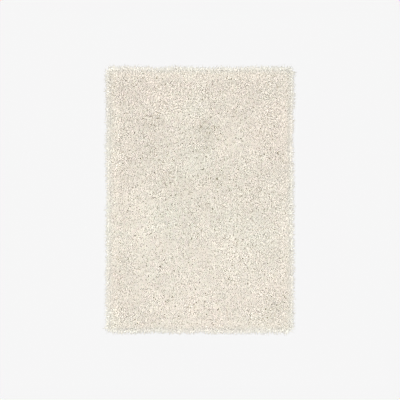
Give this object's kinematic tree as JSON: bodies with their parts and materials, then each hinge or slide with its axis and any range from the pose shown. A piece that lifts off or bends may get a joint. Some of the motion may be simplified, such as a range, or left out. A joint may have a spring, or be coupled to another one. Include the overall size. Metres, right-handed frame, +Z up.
{
  "type": "shag rug",
  "caption": "Flat rectangular floor rug with rounded corners: a thick, long cut pile of soft twisted yarn, with loose locks spread over the floor round its edges.",
  "frame": {"origin": "centre of the rug's underside, on the floor", "axes": "+Y along the rug's length, +X across it, +Z up from the floor through the pile"},
  "size_m": [1.7, 2.4, 0.045],
  "materials": {
    "pile": "dull, soft cream yarn, twisted and cut, slightly darker in the gaps between tufts",
    "backing": "plain-woven backing cloth in a natural fibre, dull, seen only from below"
  },
  "bodies": {
    "root": {"shag_rug": "pile"}
  },
  "joints": []
}
